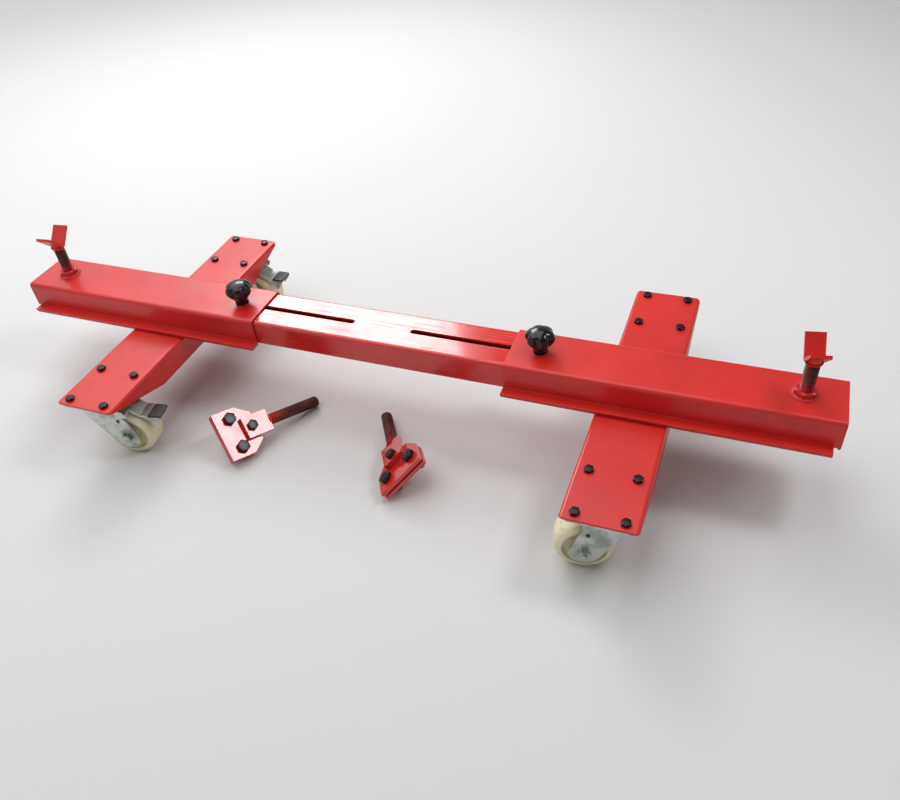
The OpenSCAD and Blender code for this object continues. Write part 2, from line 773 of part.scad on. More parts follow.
module front_jaw() {
    color(RED) translate([0, 0, -jaw_t]) jaw_plate(bolt_fit);
}

// The bolts screw into this plate
module back_jaw() {
    color(RED) translate([0, 0, -jaws_t]) jaw_plate(run_fit);
}

module clamp_bolts() {
    color(BLACK) {
        for (s = [-1, 1]) translate([s * grip_bolts / 2, grip_bolt_in, 0])
            hex_bolt(grip_bolt_d, jaws_t + bolt_out);
        translate([0, lock_bolt_in, bracket_t]) hex_bolt(lock_bolt_d, bracket_t + jaws_t + bolt_out / 2);
    }
}

// Bracket that bolts to the front jaw, with a threaded stud welded to its end
module clamp_stud() {
    color(OXIDE) {
        difference() {
            translate([-bracket_w / 2, bracket_in, 0])
                cube([bracket_w, bracket_out - bracket_in, bracket_t]);
            clamp_holes(bolt_fit, bracket_t);
        }
        translate([0, tip_out, 0]) rotate([90, 0, 0])
            chamfered_shaft(clamp_stud_d / 2, tip_out - bracket_out + eps);
    }
}

inner_beam();
on_left() sleeve();  // left_sleeve
on_left() base_plate();  // left_base_plate
on_left() end_plate();  // left_end_plate
on_left() cross_member();  // left_cross_member
on_left() post_nut();  // left_post_nut
on_left() post_stud();  // left_post_stud
at_post(-1, left_saddle_angle) saddle();  // left_saddle
on_left() knob();  // left_knob
on_left() knob_stud();  // left_knob_stud
on_left() nut_plate_block();  // left_nut_plate
on_left() caster_bolts();  // left_caster_bolts
on_left() caster_nuts();  // left_caster_nuts
on_right() sleeve();  // right_sleeve
on_right() base_plate();  // right_base_plate
on_right() end_plate();  // right_end_plate
on_right() cross_member();  // right_cross_member
on_right() post_nut();  // right_post_nut
on_right() post_stud();  // right_post_stud
at_post(1, right_saddle_angle) saddle();  // right_saddle
on_right() knob();  // right_knob
on_right() knob_stud();  // right_knob_stud
on_right() nut_plate_block();  // right_nut_plate
on_right() caster_bolts();  // right_caster_bolts
on_right() caster_nuts();  // right_caster_nuts
near_left() mount_plate(near_left_angle);  // near_left_mount_plate
near_left() kingpin();  // near_left_kingpin
near_left() fork(true);  // near_left_fork
near_left() axle_bolt();  // near_left_axle_bolt
near_left() wheel();  // near_left_wheel
near_left() brake_lever();  // near_left_brake_lever
near_left() brake_pad();  // near_left_brake_pad
near_left() brake_pin();  // near_left_brake_pin
far_left() mount_plate(far_left_angle);  // far_left_mount_plate
far_left() kingpin();  // far_left_kingpin
far_left() fork(true);  // far_left_fork
far_left() axle_bolt();  // far_left_axle_bolt
far_left() wheel();  // far_left_wheel
far_left() brake_lever();  // far_left_brake_lever
far_left() brake_pad();  // far_left_brake_pad
far_left() brake_pin();  // far_left_brake_pin
near_right() mount_plate(near_right_angle);  // near_right_mount_plate
near_right() kingpin();  // near_right_kingpin
near_right() fork(false);  // near_right_fork
near_right() axle_bolt();  // near_right_axle_bolt
near_right() wheel();  // near_right_wheel
far_right() mount_plate(far_right_angle);  // far_right_mount_plate
far_right() kingpin();  // far_right_kingpin
far_right() fork(false);  // far_right_fork
far_right() axle_bolt();  // far_right_axle_bolt
far_right() wheel();  // far_right_wheel
at_clamp_a() front_jaw();  // clamp_a_front_jaw
at_clamp_a() back_jaw();  // clamp_a_back_jaw
at_clamp_a() clamp_bolts();  // clamp_a_bolts
at_clamp_a() clamp_stud();  // clamp_a_stud
at_clamp_b() front_jaw();  // clamp_b_front_jaw
at_clamp_b() back_jaw();  // clamp_b_back_jaw
at_clamp_b() clamp_bolts();  // clamp_b_bolts
at_clamp_b() clamp_stud();  // clamp_b_stud
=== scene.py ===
import json
import math

import bmesh
import bpy
from mathutils import Matrix, Vector

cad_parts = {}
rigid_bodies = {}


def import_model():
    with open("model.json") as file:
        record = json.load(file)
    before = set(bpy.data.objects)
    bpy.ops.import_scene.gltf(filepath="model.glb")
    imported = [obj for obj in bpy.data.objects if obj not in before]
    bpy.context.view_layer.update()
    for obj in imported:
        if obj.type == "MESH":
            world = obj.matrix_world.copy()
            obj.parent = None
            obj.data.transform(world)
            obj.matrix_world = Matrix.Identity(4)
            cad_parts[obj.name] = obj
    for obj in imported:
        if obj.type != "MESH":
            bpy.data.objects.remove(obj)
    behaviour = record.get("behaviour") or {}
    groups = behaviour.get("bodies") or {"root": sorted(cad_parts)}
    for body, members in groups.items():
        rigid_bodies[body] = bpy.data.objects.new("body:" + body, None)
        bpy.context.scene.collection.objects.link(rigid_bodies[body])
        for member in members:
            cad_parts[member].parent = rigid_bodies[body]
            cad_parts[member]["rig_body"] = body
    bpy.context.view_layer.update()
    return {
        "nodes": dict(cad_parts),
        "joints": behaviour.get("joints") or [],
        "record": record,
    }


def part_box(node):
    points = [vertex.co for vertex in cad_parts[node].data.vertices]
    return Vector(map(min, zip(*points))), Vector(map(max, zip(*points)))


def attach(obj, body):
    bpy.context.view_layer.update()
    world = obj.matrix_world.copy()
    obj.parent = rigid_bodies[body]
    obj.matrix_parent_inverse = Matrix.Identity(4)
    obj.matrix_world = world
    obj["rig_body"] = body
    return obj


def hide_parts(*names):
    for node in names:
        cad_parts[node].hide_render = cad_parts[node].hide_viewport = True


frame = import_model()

nodes = frame["nodes"]

# The viewpoint of the photograph: from the front right, looking down on the dolly, with the
# camera tipped a little to one side. The picture is 900 by 800.
camera_data = bpy.data.cameras.new("camera")
camera_data.sensor_width = 36
camera_data.lens = 32.8
camera = bpy.data.objects.new("camera", camera_data)
bpy.context.scene.collection.objects.link(camera)
camera_place = (0.56422, -0.98159, 0.99764)
camera_heading, camera_tilt, camera_roll = 24.81, -41.46, -6.25
camera.matrix_world = (
    Matrix.Translation(camera_place)
    @ Matrix.Rotation(math.radians(camera_heading), 4, "Z")
    @ Matrix.Rotation(math.radians(90 + camera_tilt), 4, "X")
    @ Matrix.Rotation(math.radians(camera_roll), 4, "Z")
)
bpy.context.scene.camera = camera
bpy.context.scene.view_settings.view_transform = "Standard"


# The stage: a plain pale floor that curves up into a wall all round, and soft boxes of light.
# The widest hangs over the floor. A bright one stands behind the left half, where the inner
# beam's top mirrors it to the camera, and a small one where the first clamp's face does.
def softbox(name, place, aim, width, height, watts):
    lamp = bpy.data.lights.new(name, "AREA")
    lamp.shape, lamp.size, lamp.size_y, lamp.energy = "RECTANGLE", width, height, watts
    holder = bpy.data.objects.new(name, lamp)
    bpy.context.scene.collection.objects.link(holder)
    holder.visible_camera = False
    turn = (Vector(aim) - Vector(place)).to_track_quat("-Z", "Y").to_matrix().to_4x4()
    holder.matrix_world = Matrix.Translation(place) @ turn


softbox("back_softbox", (-1.20, 1.75, 1.72), (-0.15, 0.0, 0.15), 1.05, 0.80, 27)
softbox("ceiling_softbox", (-1.9, 0.4, 4.0), (-1.9, 0.4, 0.0), 4.8, 5.6, 168)
softbox("left_softbox", (-2.9, 1.9, 2.3), (-0.6, 0.0, 0.15), 1.3, 1.3, 6)
softbox("clamp_softbox", (1.37, 0.46, 1.95), (-0.23, -0.20, 0.05), 0.6, 0.6, 14)
softbox("front_softbox", (-1.3, -2.2, 1.4), (-0.4, 0.0, 0.1), 1.0, 0.7, 2)

room = bpy.data.worlds.new("room")
bpy.context.scene.world = room
room.use_nodes = True
room_air = room.node_tree.nodes["Background"]
room_air.inputs["Color"].default_value = (1.0, 1.0, 1.0, 1.0)
room_air.inputs["Strength"].default_value = 0.10


def whole_turn(steps):
    """The angles of that many points spread evenly round a circle."""
    return [2 * math.pi * i / steps for i in range(steps)]


def quarter_turn(steps):
    """The angles from nothing to a right angle, both ends included."""
    return [math.pi / 2 * k / steps for k in range(steps + 1)]


def on_circle(radius, angle, height):
    return (radius * math.cos(angle), radius * math.sin(angle), height)


floor_reach, cove, wall_top = 3.4, 1.2, 3.4
floor_sides, cove_steps = 96, 12
floor_grey = (0.66, 0.66, 0.66, 1.0)
sweep = [(floor_reach + cove * math.sin(t), cove * (1 - math.cos(t)))
         for t in quarter_turn(cove_steps)]
sweep.append((floor_reach + cove, wall_top))
floor_points = [on_circle(r, a, z) for r, z in sweep for a in whole_turn(floor_sides)]
floor_faces = [tuple(range(floor_sides))]
for ring in range(len(sweep) - 1):
    for i in range(floor_sides):
        here, beside = ring * floor_sides + i, ring * floor_sides + (i + 1) % floor_sides
        floor_faces.append((here, here + floor_sides, beside + floor_sides, beside))
floor_mesh = bpy.data.meshes.new("floor")
floor_mesh.from_pydata(floor_points, [], floor_faces)
floor_mesh.shade_smooth()
floor = bpy.data.objects.new("floor", floor_mesh)
bpy.context.scene.collection.objects.link(floor)
floor_paint = bpy.data.materials.new("floor_paint")
floor_paint.use_nodes = True
floor_surface = floor_paint.node_tree.nodes["Principled BSDF"]
floor_surface.inputs["Base Color"].default_value = floor_grey
floor_surface.inputs["Roughness"].default_value = 0.9
floor_surface.inputs["Specular IOR Level"].default_value = 0.1
floor_mesh.materials.append(floor_paint)


# The red weldments: the slotted inner beam, the two bent sleeves with their flanges, the base
# and end plates, and the folded cross members. All are mild steel sheet and plate, welded up and
# powder coated in one red. The sleeves have polished the beam's coat by sliding on it.
class Wire:
    """A value in a node tree, on which sums can be written."""

    def __init__(self, tree, socket=None):
        self.tree, self.socket = tree, socket

    def node(self, kind, settings=None, sockets=None, out=0):
        made = self.tree.nodes.new(kind)
        for name, value in (settings or {}).items():
            setattr(made, name, value)
        for key, value in (sockets or {}).items():
            if isinstance(value, Wire):
                self.tree.links.new(value.socket, made.inputs[key])
            else:
                made.inputs[key].default_value = value
        return Wire(self.tree, made.outputs[out])

    def other(self, name):
        return Wire(self.tree, self.socket.node.outputs[name])

    def math(self, operation, *values):
        return self.node("ShaderNodeMath", {"operation": operation}, dict(enumerate(values)))

    def vector(self, operation, *values, out=0):
        return self.node("ShaderNodeVectorMath", {"operation": operation},
                         dict(enumerate(values)), out)

    def __add__(self, value):
        return self.math("ADD", self, value)

    def __radd__(self, value):
        return self.math("ADD", value, self)

    def __sub__(self, value):
        return self.math("SUBTRACT", self, value)

    def __rsub__(self, value):
        return self.math("SUBTRACT", value, self)

    def __mul__(self, value):
        return self.math("MULTIPLY", self, value)

    def __truediv__(self, value):
        return self.math("DIVIDE", self, value)

    def step(self, low, high):
        """0 below low, 1 above high, and smooth between."""
        return self.node("ShaderNodeMapRange", {"interpolation_type": "SMOOTHSTEP"},
                         {"Value": self, "From Min": low, "From Max": high})

    def mix(self, start, end):
        """The colour start where this value is 0 and end where it is 1."""
        return self.node("ShaderNodeMix", {"data_type": "RGBA"}, {0: self, 6: start, 7: end}, 2)


def new_finish(name):
    """A material, and a wire of the piece's own coordinates in metres."""
    material = bpy.data.materials.new(name)
    material.use_nodes = True
    return material, Wire(material.node_tree).node("ShaderNodeTexCoord", out="Object")


def speckle(place, scale, detail, stretch=(1, 1, 1), offset=(0, 0, 0)):
    """Noise from 0 to 1, with scale lumps to the metre."""
    moved = place.node("ShaderNodeMapping", None, {"Vector": place, "Scale": stretch,
                                                   "Location": offset})
    return place.node("ShaderNodeTexNoise", None, {"Vector": moved, "Scale": scale,
                                                   "Detail": detail, "Roughness": 0.55})


def set_finish(material, constants, varied, height, strength, depth):
    """Sets a material's fixed numbers, its varied ones, and the bumps of its surface."""
    tree = material.node_tree
    surface = tree.nodes["Principled BSDF"]
    for name, value in constants.items():
        surface.inputs[name].default_value = value
    for name, wire in varied.items():
        tree.links.new(wire.socket, surface.inputs[name])
    bump = height.node("ShaderNodeBump", None, {"Height": height, "Strength": strength,
                                                "Distance": depth})
    tree.links.new(bump.socket, surface.inputs["Normal"])


coat_red = (0.64, 0.017, 0.010, 1.0)
coat_deep = (0.53, 0.012, 0.009, 1.0)
coat_thin = (0.36, 0.014, 0.010, 1.0)
bare_grey = (0.16, 0.12, 0.11, 1.0)


def red_coat(name, roughness, coat, rub_share, rub_stretch):
    """Powder coat: orange peel, faint clouding, rubs along rub_stretch, thin paint on the edges."""
    material, place = new_finish(name)
    cloud = speckle(place, 7, 3).step(0.3, 0.75)
    edge = place.node("ShaderNodeAttribute", {"attribute_name": "edge"}, out="Fac")
    worn = edge * speckle(place, 90, 4).step(0.45, 0.62)
    chipped = edge * speckle(place, 260, 3).step(0.64, 0.70)
    rubs = speckle(place, 60, 5, rub_stretch).step(0.52, 0.70)
    dust = speckle(place, 22, 4).step(0.42, 0.8)
    peel = speckle(place, 520, 1.5)
    colour = chipped.mix((worn * 0.7).mix(cloud.mix(coat_red, coat_deep), coat_thin), bare_grey)
    set_finish(material, {"Specular IOR Level": 0.5, "Coat Roughness": 0.08, "Coat IOR": 1.5},
               {"Base Color": colour, "Roughness": roughness + dust * 0.10 + rubs * rub_share,
                "Coat Weight": coat - dust * coat * 0.4 - rubs * coat * rub_share * 2},
               peel + rubs * 0.15, 0.16, 0.00025)
    return material


def smoothed(mesh, angle=38):
    """Smooth shading, except over edges that turn by more than an angle in degrees."""
    mesh.shade_smooth()
    mesh.set_sharp_from_angle(angle=math.radians(angle))


def piece(name, mesh, body, replaced):
    """Puts a finished mesh in the scene, on its body and in the place of its CAD node."""
    made = bpy.data.objects.new(name, mesh)
    bpy.context.scene.collection.objects.link(made)
    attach(made, body)
    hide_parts(replaced)
    return made


def body_of(node):
    """The name of the body that a CAD node belongs to."""
    return nodes[node]["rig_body"]


def one_skin(node):
    """A CAD node's mesh, its faces joined up at their corners."""
    merge_gap = 2e-6
    shape = bmesh.new()
    shape.from_mesh(nodes[node].data)
    bmesh.ops.remove_doubles(shape, verts=shape.verts, dist=merge_gap)
    return shape


def worked(node, material, round_edge=0.0006, cut=None):
    """A copy of a CAD node's mesh as one skin, its sharp edges broken by a small round.

    Where cut gives a point and an axis, what lies past that point along the axis is left off."""
    flat, sharp, round_segments = math.radians(0.5), math.radians(32), 3
    shape = one_skin(node)
    if cut:
        bmesh.ops.bisect_plane(shape, geom=shape.verts[:] + shape.edges[:] + shape.faces[:],
                               plane_co=cut[0], plane_no=cut[1], clear_outer=True)
        bmesh.ops.holes_fill(shape, edges=[e for e in shape.edges if e.is_boundary], sides=0)
    bmesh.ops.dissolve_limit(shape, angle_limit=flat, verts=shape.verts, edges=shape.edges)
    edges = [e for e in shape.edges if len(e.link_faces) == 2 and e.calc_face_angle() > sharp]
    rounds = bmesh.ops.bevel(shape, geom=edges, offset=round_edge, offset_type="OFFSET",
                             segments=round_segments, profile=0.5, affect="EDGES",
                             clamp_overlap=True)
    strip = set(rounds["faces"])
    mark = shape.verts.layers.float.new("edge")
    for vert in shape.verts:
        vert[mark] = float(bool(strip) and all(f in strip for f in vert.link_faces))
    mesh = bpy.data.meshes.new(node + "_worked")
    shape.to_mesh(mesh)
    shape.free()
    mesh.materials.append(material)
    smoothed(mesh)
    return mesh


def even_normals(made):
    """Keeps flat faces flat to the eye, and lets only the rounded edges shade round."""
    weighted = made.modifiers.new("weighted_normal", "WEIGHTED_NORMAL")
    weighted.keep_sharp = True


def worked_piece(node, ending, material, round_edge=0.0006):
    """Puts a CAD node's own shape in the scene, with its edges rounded and its finish on."""
    made = piece(node + ending, worked(node, material, round_edge), body_of(node), node)
    even_normals(made)


red = red_coat("red_coat", 0.36, 0.14, 0.08, (0.5, 9, 4))
slid_red = red_coat("slid_red_coat", 0.17, 0.55, 0.22, (0.12, 5, 3))
folded_round = 0.0008
for side in ("left", "right"):
    worked_piece(f"{side}_sleeve", "_coated", red, folded_round)
    for part in ("base_plate", "end_plate", "cross_member"):
        worked_piece(f"{side}_{part}", "_coated", red)
worked_piece("inner_beam", "_coated", slid_red)


# The posts: a hexagon nut welded to each sleeve with a rough bead round its foot, all under the
# red coat, and a screwed stud in it, dark with mill oxide, a little rust and red overspray.
def skin(name, rings, material, angle, wrap=False):
    """A mesh over rings of points, closed round each ring. It joins up, or its ends are capped."""
    shape = bmesh.new()
    made = [[shape.verts.new(p) for p in ring] for ring in rings]
    count = len(rings[0])
    pairs = list(zip(made, made[1:])) + ([(made[-1], made[0])] if wrap else [])
    for low, high in pairs:
        for i in range(count):
            j = (i + 1) % count
            shape.faces.new((low[i], low[j], high[j], high[i]))
    if not wrap:
        shape.faces.new(list(reversed(made[0])))
        shape.faces.new(made[-1])
    bmesh.ops.remove_doubles(shape, verts=shape.verts, dist=1e-7)
    bmesh.ops.recalc_face_normals(shape, faces=shape.faces)
    mesh = bpy.data.meshes.new(name)
    shape.to_mesh(mesh)
    shape.free()
    mesh.materials.append(material)
    smoothed(mesh, angle)
    return mesh


def joined(name, parts):
    """One mesh from (mesh, matrix) pairs, with the materials of the first."""
    shape = bmesh.new()
    for mesh, place in parts:
        start = len(shape.verts)
        shape.from_mesh(mesh)
        shape.verts.ensure_lookup_table()
        bmesh.ops.transform(shape, matrix=place, verts=shape.verts[start:])
    whole = bpy.data.meshes.new(name)
    shape.to_mesh(whole)
    shape.free()
    for material in parts[0][0].materials:
        whole.materials.append(material)
    smoothed(whole)
    return whole


def hexagon(angle, flats):
    """Distance from the middle to the edge of a hexagon with a corner at angle 0."""
    turned = math.fmod(angle, math.pi / 3)
    return flats / 2 / math.cos(turned - math.pi / 6)


def hex_rings(flats, profile):
    """Rings of a hexagonal piece. Each entry is (radius that the ring keeps within, height)."""
    around = 60
    return [[on_circle(min(hexagon(a, flats), limit), a, height) for a in whole_turn(around)]
            for limit, height in profile]


def nut_mesh(flats, height, bore, material, foot=True):
    """A chamfered hexagon nut on Z = 0, with a plain bore. A foot is a chamfered lower end."""
    half, corner = flats / 2, flats / 2 / math.cos(math.pi / 6)
    face, countersink = 0.95 * half, bore * 0.08
    drop = 0.5 * (corner - face)
    rings = hex_rings(flats, [
        (bore, 0), (face if foot else corner, 0), (corner, drop if foot else 0),
        (corner, height - drop), (face, height), (bore + countersink, height),
        (bore, height - countersink)])
    return skin("nut", rings, material, angle=30, wrap=True)


def weld_bead(radius, width, height, material, ripples=34, half_turn=4.0):
    """A hand-laid bead round a foot at Z = 0, which may stop half_turn either side of angle 0."""
    around, steps, bulge = 204, 6, 1.5
    taper, root = 0.35, radius * 0.9
    rings = []
    for turn in whole_turn(around):
        a = turn - math.pi
        swell = (1 + 0.07 * math.sin(ripples * a) + 0.10 * math.sin(3 * a + 0.7)
                 + 0.06 * math.sin(7 * a))
        swell *= min(1.0, max(0.02, (half_turn - abs(a)) / taper))
        ring = [on_circle(radius + width * swell * math.cos(t) ** bulge, a,
                          height * swell * math.sin(t) ** bulge) for t in quarter_turn(steps)]
        ring.append(on_circle(root, a, height * 0.5 * swell))
        ring.append(on_circle(root, a, 0))
        rings.append(ring)
    return skin("weld", rings, material, angle=60, wrap=True)


def threaded_bar_tree():
    """Node tree of a bar on its middle with a right-hand thread and chamfered ends."""
    crest_width, flank_slope = 1.2, 1.45
    tree = bpy.data.node_groups.new("threaded_bar", "GeometryNodeTree")
    for name, kind in (("Radius", "Float"), ("Pitch", "Float"), ("Depth", "Float"),
                       ("Length", "Float"), ("Chamfer", "Float"), ("Around", "Int"),
                       ("Rings", "Int"), ("Finish", "Material")):
        tree.interface.new_socket(name, in_out="INPUT", socket_type="NodeSocket" + kind)
    tree.interface.new_socket("Mesh", in_out="OUTPUT", socket_type="NodeSocketGeometry")
    inlet = tree.nodes.new("NodeGroupInput")
    size = {s.name: Wire(tree, s) for s in inlet.outputs if s.name}
    wire = Wire(tree)
    bar = wire.node("GeometryNodeMeshCylinder", {"fill_type": "NGON"},
                    {"Vertices": size["Around"], "Side Segments": size["Rings"],
                     "Radius": size["Radius"], "Depth": size["Length"]})
    x = wire.node("ShaderNodeSeparateXYZ", None, {0: wire.node("GeometryNodeInputPosition")})
    y, z = x.other("Y"), x.other("Z")
    turn = wire.math("ARCTAN2", y, x) / (2 * math.pi)
    ridge = wire.math("ABSOLUTE", wire.math("FRACT", z / size["Pitch"] - turn) * 2 - 1)
    groove = wire.node("ShaderNodeClamp", None, {"Value": crest_width - ridge * flank_slope})
    end_gap = size["Length"] / 2 - wire.math("ABSOLUTE", z)
    limit = size["Radius"] - wire.math("MAXIMUM", size["Chamfer"] - end_gap, 0.0)
    radius = wire.math("MINIMUM", size["Radius"] - size["Depth"] * groove, limit)
    share = radius / size["Radius"]
    place = wire.node("ShaderNodeCombineXYZ", None, {"X": x * share, "Y": y * share, "Z": z})
    cut = wire.node("GeometryNodeSetPosition", None, {"Geometry": bar, "Position": place})
    real = wire.node("GeometryNodeRealizeInstances", None, {"Geometry": cut})
    coated = wire.node("GeometryNodeSetMaterial", None, {"Geometry": real,
                                                         "Material": size["Finish"]})
    outlet = tree.nodes.new("NodeGroupOutput")
    tree.links.new(coated.socket, outlet.inputs["Mesh"])
    return tree


def grown(tree, values, start=None):
    """The plain mesh that a node tree makes from named values."""
    carrier = bpy.data.objects.new("carrier", start or bpy.data.meshes.new("start"))
    bpy.context.scene.collection.objects.link(carrier)
    maker = carrier.modifiers.new("maker", "NODES")
    maker.node_group = tree
    for item in tree.interface.items_tree:
        if item.in_out == "INPUT" and item.name in values:
            maker[item.identifier] = values[item.name]
    evaluated = carrier.evaluated_get(bpy.context.evaluated_depsgraph_get())
    mesh = bpy.data.meshes.new_from_object(evaluated)
    carrier.modifiers.remove(maker)
    bpy.data.objects.remove(carrier)
    smoothed(mesh, angle=32)
    return mesh


threaded_bar = threaded_bar_tree()
thread_depth = 0.61


def thread_mesh(radius, pitch, length, material, around=56, rings=8):
    """A screwed bar of that length, with that many rings of points to each turn of the thread."""
    return grown(threaded_bar, {"Radius": radius, "Pitch": pitch, "Depth": thread_depth * pitch,
                                "Length": length, "Chamfer": pitch, "Around": around,
                                "Rings": round(length / pitch * rings), "Finish": material})


stud_oxide = (0.105, 0.036, 0.031, 1.0)
stud_rust = (0.210, 0.055, 0.038, 1.0)


def dark_stud(name, sprayed):
    """Mill oxide with patches of rust, and red overspray where sprayed gives a mask."""
    material, place = new_finish(name)
    patch = speckle(place, 60, 4).step(0.42, 0.66)
    grit = speckle(place, 600, 3)
    steel = (patch * 0.8).mix(stud_oxide, stud_rust)
    spray = sprayed(place) * speckle(place, 130, 4).step(0.30, 0.62)
    set_finish(material, {"Specular IOR Level": 0.5},
               {"Base Color": spray.mix(steel, coat_deep),
                "Metallic": 0.45 - patch * 0.25 - spray * 0.2,
                "Roughness": 0.36 + patch * 0.20 + grit * 0.1}, grit, 0.25, 0.0002)
    return material


def fades_along(origin, axis, low, high):
    """A mask that is 1 up to low along an axis from an origin, and 0 from high on."""
    def mask(place):
        offset = place.vector("SUBTRACT", place, origin)
        return 1 - offset.vector("DOT_PRODUCT", offset, axis, out="Value").step(low, high)
    return mask


post_pitch, clearance = 0.0025, 0.0003
post_nut_flats, post_nut_turn = 0.030, 0.35
post_bead_radius, post_bead_width, post_bead_height = post_nut_flats * 0.545, 0.0034, 0.0036
up = Vector((0, 0, 1))
nut_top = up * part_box("left_post_nut")[1].z
post_steel = dark_stud("post_steel", fades_along(nut_top, up, 0.004, 0.020))
for side in ("left", "right"):
    low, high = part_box(f"{side}_post_stud")
    middle = (low + high) / 2
    radius, length = (high.x - low.x) / 2, high.z - low.z
    stud = thread_mesh(radius, post_pitch, length, post_steel)
    stud.transform(Matrix.Translation(middle))
    piece(f"{side}_post_stud_cut", stud, f"{side}_post", f"{side}_post_stud")

    foot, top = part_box(f"{side}_post_nut")
    nut = nut_mesh(post_nut_flats, top.z - foot.z, radius + clearance, red, foot=False)
    bead = weld_bead(post_bead_radius, post_bead_width, post_bead_height, red)
    place = (Matrix.Translation((middle.x, middle.y, foot.z))
             @ Matrix.Rotation(post_nut_turn, 4, "Z"))
    piece(f"{side}_post_nut_welded", joined("post_nut", [(nut, place), (bead, place)]),
          f"{side}_carriage", f"{side}_post_nut")


# The V saddles: flat bar bent to a right angle and welded on top of the stud, under the red
# coat, with a rough collar of weld where the stud meets the fold.
saddle_round = 0.0012
collar_width, collar_height, collar_ripples = 0.0026, 0.0055, 21
for side in ("left", "right"):
    node = f"{side}_saddle"
    vee = worked(node, red, saddle_round)
    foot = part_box(node)[0].z + saddle_round
    low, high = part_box(f"{side}_post_stud")
    middle = (low + high) / 2
    collar = weld_bead((high.x - low.x) / 2, collar_width, collar_height, red, collar_ripples)
    hang = Matrix.Translation((middle.x, middle.y, foot)) @ Matrix.Rotation(math.pi, 4, "X")
    welded = joined(node + "_welded", [(vee, Matrix()), (collar, hang)])
    even_normals(piece(node + "_welded", welded, body_of(node), node))


# The clamping knobs: glossy black mouldings, narrow at the neck and domed on top, with six soft
# lobes that lean outwards, each moulded on a black-oxide stud whose collar bears on the sleeve.
def knob_plastic():
    material, place = new_finish("knob_plastic")
    haze = speckle(place, 70, 4).step(0.4, 0.75)
    grain = speckle(place, 900, 2)
    set_finish(material, {"Specular IOR Level": 0.3, "Coat Roughness": 0.06},
               {"Base Color": haze.mix((0.004, 0.004, 0.004, 1), (0.010, 0.010, 0.010, 1)),
                "Roughness": 0.20 + haze * 0.16, "Coat Weight": 0.35 - haze * 0.15},
               grain, 0.1, 0.0001)
    return material


def knob_mesh(width, height, neck, material):
    """A tulip-shaped knob on Z = 0. Each entry is (share of the radius, of the height, lobing)."""
    stem = neck / width
    outline = [(stem - 0.02, 0.0, 0.0), (stem, 0.012, 0.0), (stem, 0.08, 0.0),
               (stem + 0.02, 0.13, 0.02), (stem + 0.09, 0.20, 0.07), (0.68, 0.28, 0.14),
               (0.79, 0.36, 0.21), (0.89, 0.44, 0.27), (0.96, 0.51, 0.31), (0.995, 0.575, 0.33),
               (1.0, 0.635, 0.33), (0.985, 0.70, 0.31), (0.94, 0.765, 0.27), (0.86, 0.83, 0.21),
               (0.75, 0.885, 0.14), (0.61, 0.93, 0.08), (0.45, 0.965, 0.03), (0.28, 0.988, 0.0),
               (0.12, 0.998, 0.0), (0.02, 1.0, 0.0)]
    lobes, around, valley_depth, valley_width = 6, 192, 0.62, 2.2
    rings = []
    for share, rise, lobing in outline:
        ring = []
        for a in whole_turn(around):
            dip = (0.5 - 0.5 * math.cos(lobes * a)) ** valley_width
            radius = width / 2 * share * (1 - lobing * valley_depth * dip)
            ring.append(on_circle(radius, a, height * rise))
        rings.append(ring)
    return skin("knob", rings, material, angle=60)


zinc_light = (0.62, 0.65, 0.61, 1.0)
zinc_dull = (0.33, 0.36, 0.33, 1.0)
zinc_stain = (0.30, 0.29, 0.20, 1.0)


def zinc_plate():
    """Bright zinc plating: cloudy, faintly brushed, with a few dull stains."""
    material, place = new_finish("zinc_plate")
    cloud = speckle(place, 45, 4).step(0.35, 0.7)
    stain = speckle(place, 28, 5, offset=(3, 1, 2)).step(0.60, 0.78)
    brushed = speckle(place, 120, 3, (1, 1, 14))
    colour = (stain * 0.55).mix(cloud.mix(zinc_light, zinc_dull), zinc_stain)
    set_finish(material, {}, {"Base Color": colour, "Metallic": 0.95 - stain * 0.35,
                              "Roughness": 0.27 + cloud * 0.13 + stain * 0.15 + brushed * 0.08},
               brushed + cloud * 0.3, 0.1, 0.0002)
    return material


def black_oxide():
    material, place = new_finish("black_oxide")
    rub = speckle(place, 220, 4).step(0.5, 0.75)
    set_finish(material, {"Specular IOR Level": 0.5},
               {"Base Color": rub.mix((0.020, 0.018, 0.018, 1), (0.060, 0.054, 0.052, 1)),
                "Metallic": 0.6 + rub * 0.3, "Roughness": 0.26 + rub * 0.16}, rub, 0.1, 0.0001)
    return material


zinc = zinc_plate()
black = black_oxide()
knob_black = knob_plastic()
knob_neck, small_round = 0.023, 0.0003
for side in ("left", "right"):
    low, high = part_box(f"{side}_knob")
    middle = (low + high) / 2
    knob = knob_mesh(high.x - low.x, high.z - low.z, knob_neck, knob_black)
    knob.transform(Matrix.Translation((middle.x, middle.y, low.z)))
    piece(f"{side}_knob_moulded", knob, body_of(f"{side}_knob"), f"{side}_knob")
    worked_piece(f"{side}_knob_stud", "_oxided", black, small_round)
    worked_piece(f"{side}_nut_plate", "_plated", zinc, small_round)


